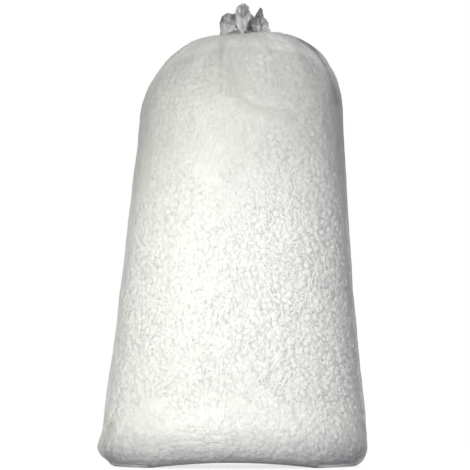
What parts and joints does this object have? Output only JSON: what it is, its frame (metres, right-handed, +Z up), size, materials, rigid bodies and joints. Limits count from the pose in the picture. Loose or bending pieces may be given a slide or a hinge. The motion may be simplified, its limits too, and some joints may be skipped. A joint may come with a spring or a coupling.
{
  "type": "packing peanut bag",
  "caption": "Tall clear plastic sack of white S-shaped foam packing chips, knotted at the neck and standing on its sealed bottom.",
  "frame": {"origin": "on the floor, under the middle of the sack's widest section", "axes": "+Z up to the knotted neck, +X to the viewer's right across the sack's width, +Y from the front face to the back"},
  "size_m": [0.864, 0.57, 1.4823],
  "materials": {
    "clear_film": "clear polythene film, faintly hazy, with a soft gloss",
    "white_foam": "matte white expanded polystyrene"
  },
  "bodies": {
    "root": {"film_bag": "clear_film", "peanut_fill": "white_foam", "loose_peanut_01": "white_foam", "loose_peanut_02": "white_foam", "loose_peanut_03": "white_foam", "loose_peanut_04": "white_foam", "loose_peanut_05": "white_foam", "loose_peanut_06": "white_foam", "loose_peanut_07": "white_foam", "loose_peanut_08": "white_foam", "loose_peanut_09": "white_foam", "loose_peanut_10": "white_foam", "loose_peanut_11": "white_foam", "loose_peanut_12": "white_foam", "loose_peanut_13": "white_foam", "loose_peanut_14": "white_foam"}
  },
  "joints": []
}
